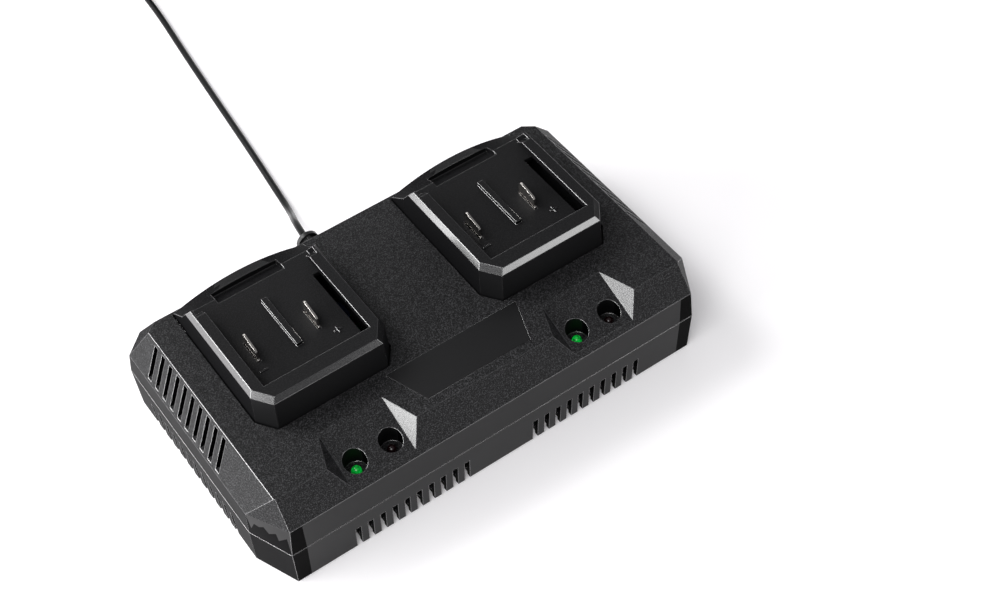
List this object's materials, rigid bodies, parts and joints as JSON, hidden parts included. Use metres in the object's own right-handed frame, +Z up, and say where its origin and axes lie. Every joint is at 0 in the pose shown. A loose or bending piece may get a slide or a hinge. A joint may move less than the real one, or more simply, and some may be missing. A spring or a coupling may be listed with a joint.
{
  "type": "twin-dock battery charger",
  "caption": "Low black mains charger for slide-on power tool packs, with raised rail docks, status lamp wells, side grilles, fan and coiled mains cord",
  "frame": {"origin": "on the floor, in the middle of the charger body's footprint, the cord left out", "axes": "+X along the long side, to the right dock; +Y from the front with the lamps to the rear with the cord; +Z up"},
  "size_m": [0.26, 0.5648, 0.0795],
  "materials": {
    "housing_plastic": "moulded, fine spark-eroded grain on the top, satin bands",
    "dock_plastic": "moulded, fine matt grain",
    "label_plastic": "bare satin plate",
    "contact_metal": "nickel-plated, stamped",
    "terminal_plastic": "moulded",
    "green_lens": "tinted clear lens",
    "red_lens": "tinted clear lens",
    "circuit_board": "solder mask",
    "copper_lead": "insulated wire",
    "ferrite": "sintered",
    "winding_tape": "polyester tape over copper wire",
    "capacitor_sleeve": "shrink sleeve over aluminium can",
    "heat_sink_metal": "extruded, plain",
    "component_epoxy": "moulded case",
    "fuse_ceramic": "glazed tube",
    "fan_plastic": "moulded",
    "screw_steel": "zinc-plated",
    "foot_rubber": "moulded",
    "bush_plastic": "flexible moulding",
    "cord_sheath": "extruded flexible PVC",
    "tie_plastic": "moulded strap",
    "plug_metal": "nickel-plated brass"
  },
  "bodies": {
    "charger": {"upper_housing": "housing_plastic", "lower_housing": "housing_plastic", "left_dock": "dock_plastic", "right_dock": "dock_plastic", "name_plate": "label_plastic", "left_minus_blade": "contact_metal", "left_plus_blade": "contact_metal", "right_minus_blade": "contact_metal", "right_plus_blade": "contact_metal", "left_terminal_block": "terminal_plastic", "right_terminal_block": "terminal_plastic", "left_green_lamp": "green_lens", "right_green_lamp": "green_lens", "left_red_lamp": "red_lens", "right_red_lamp": "red_lens", "main_board": "circuit_board", "left_lamp_board": "circuit_board", "right_lamp_board": "circuit_board", "left_charge_leads": "copper_lead", "right_charge_leads": "copper_lead", "mains_leads": "copper_lead", "transformer_core": "ferrite", "line_choke": "ferrite", "transformer_winding": "winding_tape", "bulk_capacitors": "capacitor_sleeve", "output_capacitors": "capacitor_sleeve", "primary_heat_sink": "heat_sink_metal", "output_heat_sink": "heat_sink_metal", "film_capacitor": "component_epoxy", "bridge_rectifier": "component_epoxy", "mains_fuse": "fuse_ceramic", "fan_frame": "fan_plastic", "housing_screws": "screw_steel", "board_screws": "screw_steel", "lamp_board_screws": "screw_steel", "rubber_feet": "foot_rubber", "strain_relief": "bush_plastic", "mains_cord": "cord_sheath", "cord_coil": "cord_sheath", "plug_lead": "cord_sheath", "plug_body": "cord_sheath", "cord_tie": "tie_plastic", "plug_pins": "plug_metal"},
    "fan": {"fan_rotor": "fan_plastic"}
  },
  "joints": [
    {"name": "fan_spin", "type": "hinge", "parent": "charger", "child": "fan", "pos_m": [-0.112, 0, 0.0257], "axis": [1, 0, 0], "continuous": true}
  ]
}
